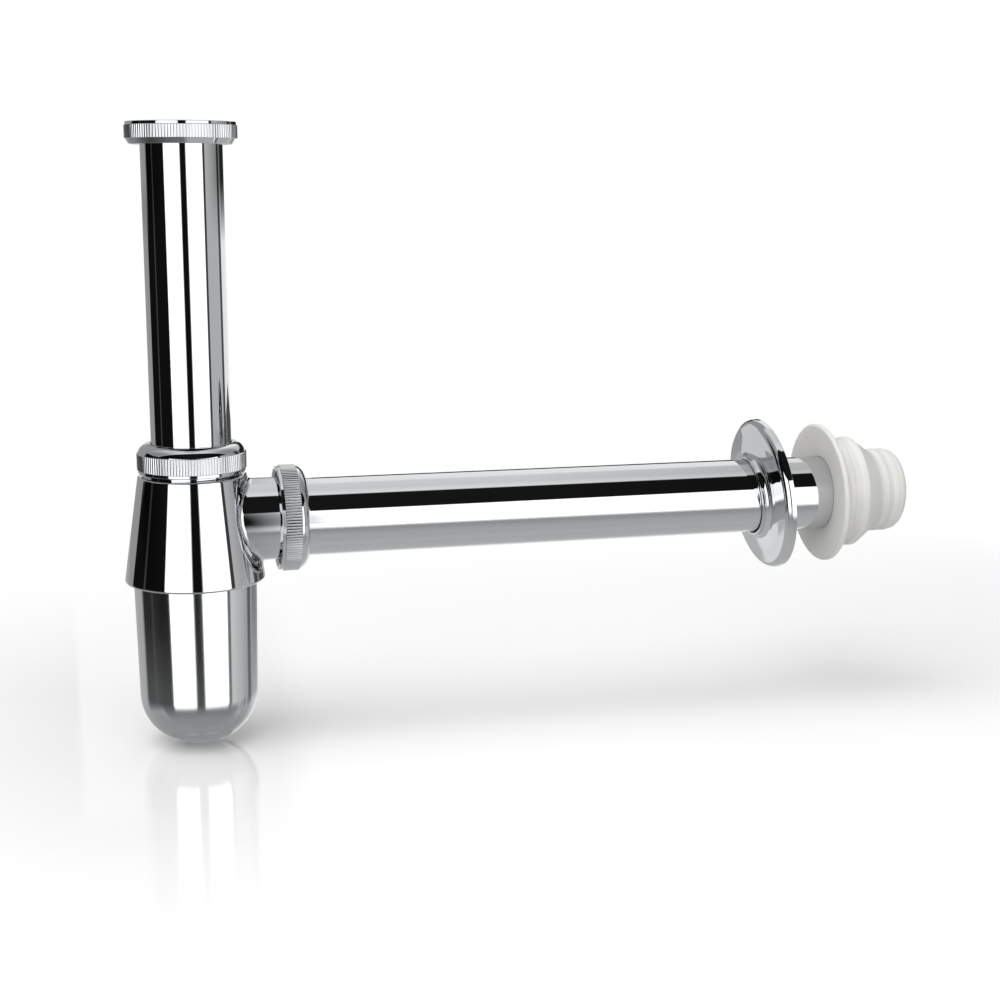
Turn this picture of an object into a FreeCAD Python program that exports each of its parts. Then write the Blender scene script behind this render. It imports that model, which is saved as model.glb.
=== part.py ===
# A chrome bottle trap for a wash basin, with its wall flange and wall sleeve.
# The origin is the centre of the inlet nut's top face. +Z is up and +X runs along the outlet.
# All sizes are in millimetres.

import FreeCAD, Part
import os
import re
import Sketcher
from FreeCAD import Rotation, Vector

doc = FreeCAD.newDocument("bottle_trap")

# Driving sizes: name, value, meaning
SIZES = [
    ("tube_radius", 16.0, "outside radius of both tubes"),
    ("tube_wall", 1.0, "wall of both tubes"),
    ("slip_gap", 0.25, "room round a tube in the holes that it slides through"),
    ("inlet_tube_length", 220.0, "flange to dipping end"),
    ("outlet_tube_length", 280.0, "whole length"),
    ("tube_tail", 8.4, "outlet tube behind the outlet joint's datum"),
    ("flange_width", 3.225, "how far the inlet tube's flange stands out"),
    ("flange_thickness", 1.2, "inlet tube's flange"),
    ("washer_gap", 0.25, "flange and washer inside the inlet thread"),
    ("washer_thickness", 2.0, "inlet washer"),
    ("inlet_thread_length", 3.6, "free thread above the washer"),
    ("inlet_ledge", 1.8, "inlet nut's floor under the flange"),
    ("inlet_relief", 0.7, "undercut behind the inlet thread"),
    ("inlet_nut_wall", 2.425, "inlet thread to rib crests"),
    ("inlet_lip_height", 1.2, "plain lip on top of the inlet nut"),
    ("inlet_foot_height", 2.6, "bevel under the inlet nut"),
    ("inlet_foot_inset", 1.75, "bevel's reach, inwards from the crests"),
    ("rib_count", 112, "grip ribs round each nut"),
    ("rib_depth", 0.35, "crest to valley"),
    ("rib_share", 0.8, "valley's share of the rib pitch"),
    ("lip_inset", 0.45, "plain lips below the rib crests"),
    ("spigot_wall", 3.5, "tube to crest of the joint's male thread"),
    ("spigot_length", 8.5, "joint datum to the male thread's end"),
    ("spigot_rim", 1.0, "flat rim round the seal's seat"),
    ("seat_depth", 3.5, "tapered seat"),
    ("seal_gap", 0.1, "cone seal round the tube"),
    ("seal_lift", 0.15, "cone seal above its seat"),
    ("seal_proud", 0.8, "cone seal above the male thread's end"),
    ("slip_ring_thickness", 1.0, "slip ring"),
    ("slip_ring_inset", 0.7, "slip ring inside the nut's bore"),
    ("thread_gap", 0.1, "between mating threads"),
    ("nut_wall", 2.3, "joint nut's bore to rib crests"),
    ("nut_stand_off", 1.3, "joint datum to the nut's open end"),
    ("skirt_length", 1.3, "plain lip at the nut's open end"),
    ("crown_thickness", 2.75, "joint nut above its slip ring"),
    ("dome_height", 3.7, "joint nut's rounded end"),
    ("dome_radius", 6.4, "curve of that end"),
    ("dome_land", 0.65, "flat ring round the tube at the dome's top"),
    ("shoulder_drop", 139.6, "origin down to the body's shoulder"),
    ("shoulder_width", 2.3, "shoulder outside the neck thread"),
    ("shoulder_round", 1.0, "rounding of the shoulder"),
    ("branch_headroom", 2.8, "shoulder to the top of the branch"),
    ("branch_wall", 0.75, "wall of the branch"),
    ("branch_fillet", 1.9, "rounding where the branch leaves the cone"),
    ("branch_reach", 32.4, "axis to the outlet joint's datum"),
    ("collar_start", 3.0, "that datum to the branch's threaded collar"),
    ("bore_overrun", 4.0, "start of the branch's bore, inside the inlet tube's radius"),
    ("chamber_gap", 3.8, "water way round the tube at the chamber's top"),
    ("chamber_headroom", 0.55, "chamber above the branch's bore"),
    ("seat_floor", 1.0, "branch's underside to the cup seal's seat"),
    ("body_lip_wall", 2.8, "cone's lip outside the cup's socket"),
    ("lip_round", 1.0, "rounding of that lip"),
    ("cup_gap", 7.4, "water way round the tube at the cup's mouth"),
    ("cup_seat_width", 2.1, "cup seal's seat"),
    ("cup_seal_thickness", 1.5, "cup seal"),
    ("cup_seal_gap", 0.1, "cup seal inside its socket"),
    ("cup_thread_length", 4.3, "cup's thread inside the body"),
    ("cup_runout", 0.2, "thread's end above the body's lip"),
    ("cup_neck_inset", 0.65, "cup's wall inside its own thread"),
    ("cup_taper", 0.85, "cup's wall drawn in, from mouth to foot"),
    ("cup_wall", 1.3, "wall of the cup"),
    ("cup_depth", 68.7, "body's lip to the cup's underside"),
    ("cup_corner_centre", 3.0, "centre of the foot's curve, out from the axis"),
    ("cup_floor_step", 9.0, "floor's curve beyond the foot's curve"),
    ("rose_radius", 33.0, "wall flange's rim"),
    ("rose_rim", 3.0, "straight part of that rim"),
    ("rose_round", 0.9, "rounding of that rim"),
    ("rose_sheet", 1.0, "wall flange's sheet"),
    ("rose_height", 9.0, "wall to the collar's end"),
    ("rose_collar", 1.15, "wall of the collar round the tube"),
    ("rose_collar_rise", 1.0, "straight part of the collar"),
    ("rose_fillet", 2.2, "hollow between face and collar"),
    ("rose_face_radius", 45.0, "bulge of the face"),
    ("rose_play", 0.5, "room round the tube in the wall flange's hole"),
    ("rose_lean", 6.5, "degrees that the loose wall flange leans away from the wall at its top"),
    ("rose_stand_off", 25.0, "wall flange's rim to the sleeve, as left by the fitter"),
    ("sleeve_gap", 0.15, "sleeve round the tube"),
    ("sleeve_stop_gap", 0.5, "tube's end to the sleeve's stop"),
    ("sleeve_flange_reach", 14.35, "sleeve's flange outside its bore"),
    ("sleeve_flange", 2.6, "thickness of that flange"),
    ("sleeve_skin", 3.0, "flange's inner lip, along the bore"),
    ("drum_wall", 3.0, "sleeve's wall at the large drum"),
    ("cavity_depth", 4.45, "hollow between tube and large drum"),
    ("nose_wall", 1.75, "sleeve's wall at the small drum"),
    ("ridge_height", 0.65, "sealing ridges on the large drum"),
    ("ridge_flank", 0.8, "slope on each side of a large ridge"),
    ("ridge_land", 2.0, "flat crest of a large ridge"),
    ("ridge_first", 1.2, "flange to the first large ridge"),
    ("ridge_pitch", 6.8, "from one large ridge to the next"),
    ("taper_length", 8.0, "cone between the drums"),
    ("small_ridge_height", 0.45, "sealing ridges on the small drum"),
    ("small_ridge_flank", 0.5, "slope on each side of a small ridge"),
    ("small_ridge_land", 1.8, "flat crest of a small ridge"),
    ("small_ridge_first", 1.5, "taper to the first small ridge"),
    ("small_ridge_pitch", 4.5, "from one small ridge to the next"),
    ("nose_round", 3.6, "rounding of the sleeve's end"),
    ("nose_flat", 0.6, "last ridge to that rounding"),
    ("stop_inset", 2.0, "sleeve's stop inside its bore"),
    ("stop_length", 6.2, "sleeve's stop, along the bore"),
]

# Places and radii worked out from the sizes
PLACES = {
    "slide_radius": "tube_radius + slip_gap",
    "tube_bore": "tube_radius - tube_wall",
    "inlet_thread_radius": "tube_radius + flange_width + washer_gap",
    "flange_radius": "tube_radius + flange_width",
    "inlet_nut_radius": "inlet_thread_radius + inlet_nut_wall",
    "flange_top": "-inlet_thread_length - washer_thickness",
    "inlet_ledge_top": "flange_top - flange_thickness",
    "inlet_nut_foot": "inlet_ledge_top - inlet_ledge",
    "spigot_radius": "tube_radius + spigot_wall",
    "seat_radius": "spigot_radius - spigot_rim",
    "seal_top": "spigot_length + seal_proud",
    "nut_ledge": "seal_top + slip_ring_thickness",
    "nut_bore": "spigot_radius + thread_gap",
    "nut_radius": "nut_bore + nut_wall",
    "nut_lip_radius": "nut_radius - lip_inset",
    "nut_top": "nut_ledge + crown_thickness",
    "nut_band_low": "nut_stand_off + skirt_length",
    "nut_band_high": "nut_top - dome_height",
    "branch_radius": "slide_radius + branch_wall",
    "outlet_axis": "-shoulder_drop - branch_headroom - branch_radius",
    "chamber_top": "outlet_axis + slide_radius + chamber_headroom",
    "cup_seat": "outlet_axis - branch_radius - seat_floor",
    "cup_rim": "cup_seat - cup_seal_thickness",
    "body_lip": "cup_rim - cup_thread_length",
    "cup_seat_radius": "tube_radius + cup_gap",
    "cup_thread_radius": "cup_seat_radius + cup_seat_width",
    "cup_socket_radius": "cup_thread_radius + thread_gap",
    "cup_mouth_radius": "cup_thread_radius - cup_neck_inset",
    "cup_foot_radius": "cup_mouth_radius - cup_taper",
    "cup_corner": "cup_foot_radius - cup_corner_centre",
    "cup_floor": "cup_corner + cup_floor_step",
    "cup_centre_rise": "sqrt(cup_floor_step ^ 2 - cup_corner_centre ^ 2)",
    "cup_bottom": "body_lip - cup_depth",
    "cup_floor_centre": "cup_bottom + cup_floor",
    "cup_corner_level": "cup_floor_centre - cup_centre_rise",
    "outlet_tube_start": "branch_reach - tube_tail",
    "sleeve_bore": "tube_radius + sleeve_gap",
    "drum_root": "sleeve_bore + cavity_depth + drum_wall",
    "nose_root": "sleeve_bore + nose_wall",
    "taper_start": "sleeve_flange + ridge_first + ridge_pitch + 2 * ridge_flank + ridge_land",
    "taper_end": "taper_start + taper_length",
    "small_ridges_end": "taper_end + small_ridge_first + small_ridge_pitch"
                        " + 2 * small_ridge_flank + small_ridge_land",
    "sleeve_end": "small_ridges_end + nose_flat + nose_round",
    "sleeve_stop": "sleeve_end - stop_length",
    "sleeve_place": "outlet_tube_start + outlet_tube_length + sleeve_stop_gap - sleeve_stop",
    "rose_place": "sleeve_place - rose_stand_off",
    "rose_hole": "tube_radius + rose_play",
    "collar_radius": "slide_radius + rose_collar",
    "rose_face_top": "rose_height - rose_collar_rise - rose_fillet",
    "rose_hole_end": "rose_face_top - rose_sheet",
    "rose_hole_middle": "(rose_height + rose_hole_end) / 2",
}

sheet = doc.addObject("Spreadsheet::Sheet", "Sizes")
for row, (alias, value, meaning) in enumerate(SIZES, 1):
    sheet.set(f"A{row}", alias)
    sheet.set(f"B{row}", str(value))
    sheet.setAlias(f"B{row}", alias)
    sheet.set(f"C{row}", meaning)
doc.recompute()
SIZE_NAMES = {alias for alias, value, meaning in SIZES}


def formula(words):
    # Spells out places and points each size at its cell
    def spell(match):
        word = match.group(0)
        if word in PLACES:
            return f"({formula(PLACES[word])})"
        return f"Sizes.{word}" if word in SIZE_NAMES else word

    return re.sub(r"[a-z][a-z_]*", spell, words)


def measure(words):
    return float(sheet.evalExpression(formula(words)))


def bind(target, prop, words):
    target.setExpression(prop, formula(words))


def new_body(label):
    body = doc.addObject("PartDesign::Body", label)
    body.Label = label
    return body


def origin_plane(body, role):
    return next(item for item in body.Origin.OriginFeatures if item.Role == role)


def corner(across, along):
    return Vector(measure(across), measure(along), 0)


def curve_between(start, end, radius, side):
    # The shorter arc of that radius, bulging to the left (side 1) or right (side -1) of its run
    chord = end - start
    half = chord.Length / 2
    rise = radius - max(radius ** 2 - half ** 2, 0) ** 0.5
    left = Vector(-chord.y, chord.x, 0).normalize()
    middle = (start + end) / 2 + left * rise * side
    # Drawn anticlockwise either way
    return Part.Arc(end, middle, start) if side > 0 else Part.Arc(start, middle, end)


def fix_point(sketch, edge, end, axis, words, name):
    if words == "0":
        sketch.addConstraint(Sketcher.Constraint("PointOnObject", edge, end, -2 if axis == "X" else -1))
        return
    index = sketch.addConstraint(Sketcher.Constraint(f"Distance{axis}", edge, end, measure(words)))
    sketch.renameConstraint(index, name)
    bind(sketch, f"Constraints.{name}", words)


def draw_outline(body, name, outline, role="XZ_Plane"):
    # A closed sketch. Each entry is a corner (across, along), and an arc to the next corner
    # adds its radius and the side that it bulges to.
    sketch = body.newObject("Sketcher::SketchObject", name)
    sketch.AttachmentSupport = (origin_plane(body, role), [""])
    sketch.MapMode = "FlatFace"
    corners = [corner(*entry[:2]) for entry in outline]
    ends = []
    for index, entry in enumerate(outline):
        start = corners[index]
        end = corners[(index + 1) % len(corners)]
        if len(entry) == 2:
            sketch.addGeometry(Part.LineSegment(start, end))
            ends.append((1, 2))
            continue
        edge = sketch.addGeometry(curve_between(start, end, measure(entry[2]), entry[3]))
        curve = sketch.Geometry[edge]
        forward = (curve.StartPoint - start).Length < (curve.EndPoint - start).Length
        ends.append((1, 2) if forward else (2, 1))
    for index, entry in enumerate(outline):
        following = (index + 1) % len(outline)
        sketch.addConstraint(
            Sketcher.Constraint("Coincident", index, ends[index][1], following, ends[following][0]))
        fix_point(sketch, index, ends[index][0], "X", entry[0], f"across{index}")
        fix_point(sketch, index, ends[index][0], "Y", entry[1], f"along{index}")
        if len(entry) > 2:
            bend = sketch.addConstraint(Sketcher.Constraint("Radius", index, measure(entry[2])))
            sketch.renameConstraint(bend, f"bend{index}")
            bind(sketch, f"Constraints.bend{index}", entry[2])
    return sketch


def turn(body, name, outline, kind="Revolution", axis="V_Axis", level=None):
    # A turned feature, added or cut away. level raises the sketch, so that its H_Axis is a level axis.
    sketch = draw_outline(body, f"{name}_outline", outline)
    if level:
        bind(sketch, "AttachmentOffset.Base.y", level)
    feature = body.newObject(f"PartDesign::{kind}", name)
    feature.Profile = sketch
    feature.ReferenceAxis = (sketch, [axis])
    feature.Angle = 360
    doc.recompute()
    return feature


def round_edges(body, name, base, wanted, radius):
    # Rounds the edges of the base feature whose two faces pass the test
    shape = base.Shape
    edges = []
    for index, edge in enumerate(shape.Edges, 1):
        faces = shape.ancestorsOfType(edge, Part.Face)
        if len(faces) == 2 and wanted(*faces):
            edges.append(f"Edge{index}")
    fillet = body.newObject("PartDesign::Fillet", name)
    fillet.Base = (base, edges)
    bind(fillet, "Radius", radius)
    doc.recompute()
    return fillet


def place(body, across="0", up="0", along_outlet=False, lean="0"):
    # Pieces on the outlet are drawn along Z and laid along X, short of level by their lean
    if along_outlet:
        body.Placement.Rotation = Rotation(Vector(0, 1, 0), 90 - measure(lean))
        bind(body, "Placement.Rotation.Angle", f"90 - {lean}")
    bind(body, "Placement.Base.x", across)
    bind(body, "Placement.Base.z", up)


def cut_ribs(body, crest, band_high, band_length):
    # One V-shaped valley through the grip band, repeated round the nut
    half = f"rib_share * pi * ({crest}) / rib_count"
    # The V runs on past the crest by its own depth, where it is twice as wide
    valley = draw_outline(body, "valley_outline", [
        (f"{crest} - rib_depth", "0"),
        (f"{crest} + rib_depth", f"-2 * {half}"),
        (f"{crest} + rib_depth", f"2 * {half}"),
    ], "XY_Plane")
    bind(valley, "AttachmentOffset.Base.z", band_high)
    pocket = body.newObject("PartDesign::Pocket", "valley")
    pocket.Profile = valley
    bind(pocket, "Length", band_length)
    doc.recompute()
    ribs = body.newObject("PartDesign::PolarPattern", "ribs")
    ribs.Originals = [pocket]
    ribs.Axis = (valley, ["N_Axis"])
    ribs.Angle = 360
    bind(ribs, "Occurrences", "rib_count")
    body.Tip = ribs
    doc.recompute()


# The inlet nut: a thread for the basin's waste, an undercut for flange and washer, and a floor
def make_inlet_nut():
    body = new_body("inlet_nut")
    band_low = "inlet_nut_foot + inlet_foot_height"
    turn(body, "nut", [
        ("slide_radius", "inlet_nut_foot"),
        ("inlet_nut_radius - inlet_foot_inset", "inlet_nut_foot"),
        ("inlet_nut_radius - lip_inset", band_low),
        ("inlet_nut_radius", band_low),
        ("inlet_nut_radius", "-inlet_lip_height"),
        ("inlet_nut_radius - lip_inset", "-inlet_lip_height"),
        ("inlet_nut_radius - lip_inset", "0"),
        ("inlet_thread_radius", "0"),
        ("inlet_thread_radius", "-inlet_thread_length"),
        ("inlet_thread_radius + inlet_relief", "-inlet_thread_length"),
        ("inlet_thread_radius + inlet_relief", "inlet_ledge_top"),
        ("slide_radius", "inlet_ledge_top"),
    ])
    cut_ribs(body, "inlet_nut_radius", "-inlet_lip_height", f"-inlet_lip_height - ({band_low})")
    return body


def make_ring(label, inside, outside, low, high):
    body = new_body(label)
    turn(body, "ring", [(inside, low), (outside, low), (outside, high), (inside, high)])
    return body


# The inlet tube: a dip tube with a flange that hangs in the inlet nut
def make_inlet_tube():
    body = new_body("inlet_tube")
    end = "flange_top - inlet_tube_length"
    turn(body, "tube", [
        ("tube_bore", end),
        ("tube_radius", end),
        ("tube_radius", "inlet_ledge_top"),
        ("flange_radius", "inlet_ledge_top"),
        ("flange_radius", "flange_top"),
        ("tube_bore", "flange_top"),
    ])
    return body


# A compression joint's nut, slip ring and cone seal, drawn up from the joint's datum
def make_joint_nut(label):
    body = new_body(label)
    turn(body, "nut", [
        ("slide_radius", "nut_ledge"),
        ("nut_bore", "nut_ledge"),
        ("nut_bore", "nut_stand_off"),
        ("nut_lip_radius", "nut_stand_off"),
        ("nut_lip_radius", "nut_band_low"),
        ("nut_radius", "nut_band_low"),
        ("nut_radius", "nut_band_high"),
        ("nut_lip_radius", "nut_band_high", "dome_radius", -1),
        ("slide_radius + dome_land", "nut_top"),
        ("slide_radius", "nut_top"),
    ])
    cut_ribs(body, "nut_radius", "nut_band_high", "nut_band_high - nut_band_low")
    return body


def make_cone_seal(label):
    body = new_body(label)
    foot = "spigot_length - seat_depth + seal_lift"
    turn(body, "seal", [
        ("tube_radius + seal_gap", foot),
        ("slide_radius", foot),
        ("seat_radius", "spigot_length + seal_lift"),
        ("seat_radius", "seal_top"),
        ("tube_radius + seal_gap", "seal_top"),
    ])
    return body


def make_joint(prefix, **spot):
    pieces = [
        make_joint_nut(f"{prefix}_nut"),
        make_ring(f"{prefix}_slip_ring", "slide_radius", "nut_bore - slip_ring_inset",
                  "seal_top", "nut_ledge"),
        make_cone_seal(f"{prefix}_cone_seal"),
    ]
    for piece in pieces:
        place(piece, **spot)
    return pieces


# The body: a cone with a threaded neck and a filleted branch, hollowed for tube, water and cup
def make_trap_body():
    body = new_body("trap_body")
    neck_top = "spigot_length - shoulder_drop"
    turn(body, "cone", [
        ("0", neck_top),
        ("spigot_radius", neck_top),
        ("spigot_radius", "-shoulder_drop"),
        ("spigot_radius + shoulder_width", "-shoulder_drop"),
        ("cup_socket_radius + body_lip_wall", "body_lip"),
        ("0", "body_lip"),
    ])
    collar = "branch_reach + collar_start"
    branch_end = "branch_reach + spigot_length"
    branch = turn(body, "branch", [
        ("0", "0"),
        ("0", "branch_radius"),
        (collar, "branch_radius"),
        (collar, "spigot_radius"),
        (branch_end, "spigot_radius"),
        (branch_end, "0"),
    ], axis="H_Axis", level="outlet_axis")

    def is_cone(face):
        return isinstance(face.Surface, Part.Cone)

    def is_branch(face):
        surface = face.Surface
        return isinstance(surface, Part.Cylinder) and abs(surface.Axis.x) > 0.9

    def is_flat(face):
        return isinstance(face.Surface, Part.Plane)

    def meets(first, second):
        return lambda one, other: first(one) and second(other) or first(other) and second(one)

    def lies_at(level):
        return lambda face: is_flat(face) and abs(face.BoundBox.ZMax - measure(level)) < 0.01

    joined = round_edges(body, "branch_root", branch, meets(is_cone, is_branch),
                         "min(branch_fillet; 0.65 * branch_headroom)")
    shouldered = round_edges(body, "shoulder", joined, meets(is_cone, lies_at("-shoulder_drop")),
                             "min(shoulder_round; 0.3 * branch_headroom)")
    round_edges(body, "lip", shouldered, meets(is_cone, lies_at("body_lip")), "lip_round")
    turn(body, "chamber", [
        ("0", neck_top),
        ("seat_radius", neck_top),
        ("slide_radius", f"{neck_top} - seat_depth"),
        ("slide_radius", "chamber_top"),
        ("tube_radius + chamber_gap", "chamber_top"),
        ("cup_seat_radius", "cup_seat"),
        ("cup_socket_radius", "cup_seat"),
        ("cup_socket_radius", "body_lip"),
        ("0", "body_lip"),
    ], "Groove")
    bore_start = "tube_radius - bore_overrun"
    turn(body, "branch_bore", [
        (bore_start, "0"),
        (bore_start, "slide_radius"),
        (f"{branch_end} - seat_depth", "slide_radius"),
        (branch_end, "seat_radius"),
        (branch_end, "0"),
    ], "Groove", "H_Axis", "outlet_axis")
    return body


# The cup: a drawn cup with a threaded mouth, whose foot and floor are two tangent curves
def make_bottle_cup():
    body = new_body("bottle_cup")
    thread_end = "body_lip + cup_runout"

    def floor_joint(inset):
        share = f"(cup_floor - {inset}) / cup_floor_step"
        return f"cup_corner_centre * {share}", f"cup_floor_centre - cup_centre_rise * {share}"

    turn(body, "cup", [
        ("cup_mouth_radius - cup_wall", "cup_rim"),
        ("cup_thread_radius", "cup_rim"),
        ("cup_thread_radius", thread_end),
        ("cup_mouth_radius", thread_end),
        ("cup_foot_radius", "cup_corner_level", "cup_corner", 1),
        (*floor_joint("0"), "cup_floor", 1),
        ("0", "cup_bottom"),
        ("0", "cup_bottom + cup_wall", "cup_floor - cup_wall", -1),
        (*floor_joint("cup_wall"), "cup_corner - cup_wall", -1),
        ("cup_foot_radius - cup_wall", "cup_corner_level"),
    ])
    return body


# The wall flange: a pressed disc with a straight rim, a slightly domed face and a collar.
# It hangs loose, and leans about the middle of its hole.
def make_wall_flange():
    body = new_body("wall_flange")
    rim_top = "-rose_rim - rose_round"
    turn(body, "rose", [
        ("rose_radius - rose_sheet", "0"),
        ("rose_radius", "0"),
        ("rose_radius", "-rose_rim", "rose_round", 1),
        ("rose_radius - rose_round", rim_top, "rose_face_radius", 1),
        ("collar_radius + rose_fillet", "-rose_face_top", "rose_fillet", -1),
        ("collar_radius", "-rose_face_top - rose_fillet"),
        ("collar_radius", "-rose_height"),
        ("rose_hole", "-rose_height"),
        ("rose_hole", "-rose_hole_end"),
        ("collar_radius + rose_fillet", "-rose_hole_end", "rose_face_radius - rose_sheet", -1),
        ("rose_radius - rose_sheet", f"{rim_top} + rose_sheet"),
    ])
    rise = "rose_hole_middle * sin(rose_lean * 1 deg)"
    place(body, "rose_place", f"outlet_axis + {rise}", True, "rose_lean")
    return body


def ridges(root, height, first, pitch, flank, land):
    # Two sealing ridges with flat crests
    crest = f"{root} + {height}"
    points = []
    for number in range(2):
        start = f"{first} + {number} * {pitch}"
        points += [
            (root, start),
            (crest, f"{start} + {flank}"),
            (crest, f"{start} + {flank} + {land}"),
            (root, f"{start} + 2 * {flank} + {land}"),
        ]
    return points


# The wall sleeve: one rubber moulding of even wall, with a flange and two ridged drums
def make_wall_sleeve():
    body = new_body("wall_sleeve")
    edge = "sleeve_bore + sleeve_flange_reach - sleeve_flange / 2"
    turn(body, "sleeve", [
        ("sleeve_bore", "0"),
        (edge, "0", "sleeve_flange / 2", -1),
        ("sleeve_bore + sleeve_flange_reach", "sleeve_flange / 2", "sleeve_flange / 2", -1),
        (edge, "sleeve_flange"),
        ("drum_root", "sleeve_flange"),
        *ridges("drum_root", "ridge_height", "sleeve_flange + ridge_first", "ridge_pitch",
                "ridge_flank", "ridge_land"),
        ("nose_root", "taper_end"),
        *ridges("nose_root", "small_ridge_height", "taper_end + small_ridge_first", "small_ridge_pitch",
                "small_ridge_flank", "small_ridge_land"),
        ("nose_root", "small_ridges_end + nose_flat", "nose_round", -1),
        ("nose_root - nose_round", "sleeve_end"),
        ("sleeve_bore - stop_inset", "sleeve_end"),
        ("sleeve_bore - stop_inset", "sleeve_stop"),
        ("sleeve_bore", "sleeve_stop"),
        ("sleeve_bore", "taper_end"),
        ("sleeve_bore + cavity_depth", "taper_start"),
        ("sleeve_bore + cavity_depth", "sleeve_skin"),
        ("sleeve_bore", "sleeve_skin"),
    ])
    place(body, "sleeve_place", "outlet_axis", True)
    return body


inlet_washer = make_ring("inlet_washer", "tube_bore + slip_gap", "flange_radius", "flange_top",
                         "-inlet_thread_length")
cup_seal = make_ring("cup_seal", "cup_seat_radius + cup_seal_gap", "cup_thread_radius - cup_seal_gap",
                     "cup_rim", "cup_seat")
outlet_tube = make_ring("outlet_tube", "tube_bore", "tube_radius", "0", "outlet_tube_length")
place(outlet_tube, "outlet_tube_start", "outlet_axis", True)

pieces = [
    make_inlet_nut(),
    inlet_washer,
    make_inlet_tube(),
    *make_joint("neck", up="-shoulder_drop"),
    make_trap_body(),
    cup_seal,
    make_bottle_cup(),
    *make_joint("outlet", across="branch_reach", up="outlet_axis", along_outlet=True),
    outlet_tube,
    make_wall_flange(),
    make_wall_sleeve(),
]
doc.recompute()

for item in doc.Objects:
    if "Invalid" in item.State or "Error" in item.State:
        raise RuntimeError(f"{item.Label} did not build: {item.State}")
for piece in pieces:
    if piece.Shape.isNull() or not piece.Shape.isValid() or len(piece.Shape.Solids) != 1:
        raise RuntimeError(f"{piece.Label} is not one sound solid")

os.makedirs("parts", exist_ok=True)
for piece in pieces:
    piece.Shape.exportStep(f"parts/{piece.Label}.step")
    print(piece.Label, round(piece.Shape.Volume, 1))
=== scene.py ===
from math import asin, atan2, cos, hypot, pi, radians, sin, sqrt, tan

import bmesh
import bpy
from mathutils import Matrix, Vector


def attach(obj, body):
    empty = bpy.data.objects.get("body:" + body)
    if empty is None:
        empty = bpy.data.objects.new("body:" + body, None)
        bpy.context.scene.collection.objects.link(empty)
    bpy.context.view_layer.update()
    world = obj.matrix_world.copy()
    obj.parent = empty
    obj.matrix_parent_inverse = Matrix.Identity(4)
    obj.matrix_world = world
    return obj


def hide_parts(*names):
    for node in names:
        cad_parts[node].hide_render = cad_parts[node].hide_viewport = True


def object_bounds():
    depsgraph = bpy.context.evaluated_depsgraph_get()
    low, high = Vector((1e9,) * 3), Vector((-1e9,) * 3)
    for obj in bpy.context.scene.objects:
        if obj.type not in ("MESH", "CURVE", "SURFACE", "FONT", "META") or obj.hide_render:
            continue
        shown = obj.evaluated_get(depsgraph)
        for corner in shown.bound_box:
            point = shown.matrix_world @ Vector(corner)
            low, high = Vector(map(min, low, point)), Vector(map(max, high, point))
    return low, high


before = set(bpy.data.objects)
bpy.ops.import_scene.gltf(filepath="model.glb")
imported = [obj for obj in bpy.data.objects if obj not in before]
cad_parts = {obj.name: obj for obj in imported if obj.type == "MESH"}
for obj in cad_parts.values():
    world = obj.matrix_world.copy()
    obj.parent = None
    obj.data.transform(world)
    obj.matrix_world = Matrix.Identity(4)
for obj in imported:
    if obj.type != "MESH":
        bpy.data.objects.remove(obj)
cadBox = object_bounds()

mm = 0.001
bpy.context.scene.view_settings.view_transform = "Standard"


def hexToLinear(code):
    shares = [int(code[i:i + 2], 16) / 255 for i in (1, 3, 5)]
    return tuple(s / 12.92 if s <= 0.04045 else ((s + 0.055) / 1.055) ** 2.4 for s in shares) + (1.0,)


def addNode(tree, kind, inputs=None, **settings):
    node = tree.nodes.new(kind)
    for name, value in settings.items():
        setattr(node, name, value)
    for socket, value in (inputs or {}).items():
        if isinstance(value, bpy.types.NodeSocket):
            tree.links.new(value, node.inputs[socket])
        else:
            node.inputs[socket].default_value = value
    return node


def newFinish(name, hexCode, **values):
    finish = bpy.data.materials.new(name)
    finish.use_nodes = True
    shader = finish.node_tree.nodes["Principled BSDF"]
    shader.inputs["Base Color"].default_value = hexToLinear(hexCode)
    for socket, value in values.items():
        shader.inputs[socket.replace("_", " ")].default_value = value
    return finish, finish.node_tree, shader


# Bright chrome on brass that was buffed before plating: a clear dark mirror, with the long
# soft waves of the buffing wheel and a little more haze where it has been handled.
chromeLook = {"base": "#dcdee0", "clear": 0.022, "hazy": 0.05, "hazeSize": 14.0, "hazeRange": (0.4, 0.7),
              "waveSize": 9.0, "waveDepth": 0.0016}


def makeChromePlate(look):
    finish, tree, shader = newFinish("chromePlate", look["base"], Metallic=1.0)
    place = addNode(tree, "ShaderNodeTexCoord")
    haze = addNode(tree, "ShaderNodeTexNoise", {
        "Vector": place.outputs["Object"], "Scale": 1 / (look["hazeSize"] * mm), "Detail": 3.0})
    rough = addNode(tree, "ShaderNodeMapRange", {
        "Value": haze.outputs[0], "From Min": look["hazeRange"][0], "From Max": look["hazeRange"][1],
        "To Min": look["clear"], "To Max": look["hazy"]})
    wave = addNode(tree, "ShaderNodeTexNoise", {
        "Vector": place.outputs["Object"], "Scale": 1 / (look["waveSize"] * mm), "Detail": 1.0})
    bump = addNode(tree, "ShaderNodeBump", {"Height": wave.outputs[0], "Distance": look["waveDepth"] * mm})
    tree.links.new(rough.outputs[0], shader.inputs["Roughness"])
    tree.links.new(bump.outputs[0], shader.inputs["Normal"])
    return finish


# The same plate inside bores and under threads, where nothing was buffed: grey, soft, with a fine grain.
satinLook = {"base": "#b9bab8", "rough": (0.26, 0.42), "grain": 0.6, "depth": 0.01}


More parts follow.
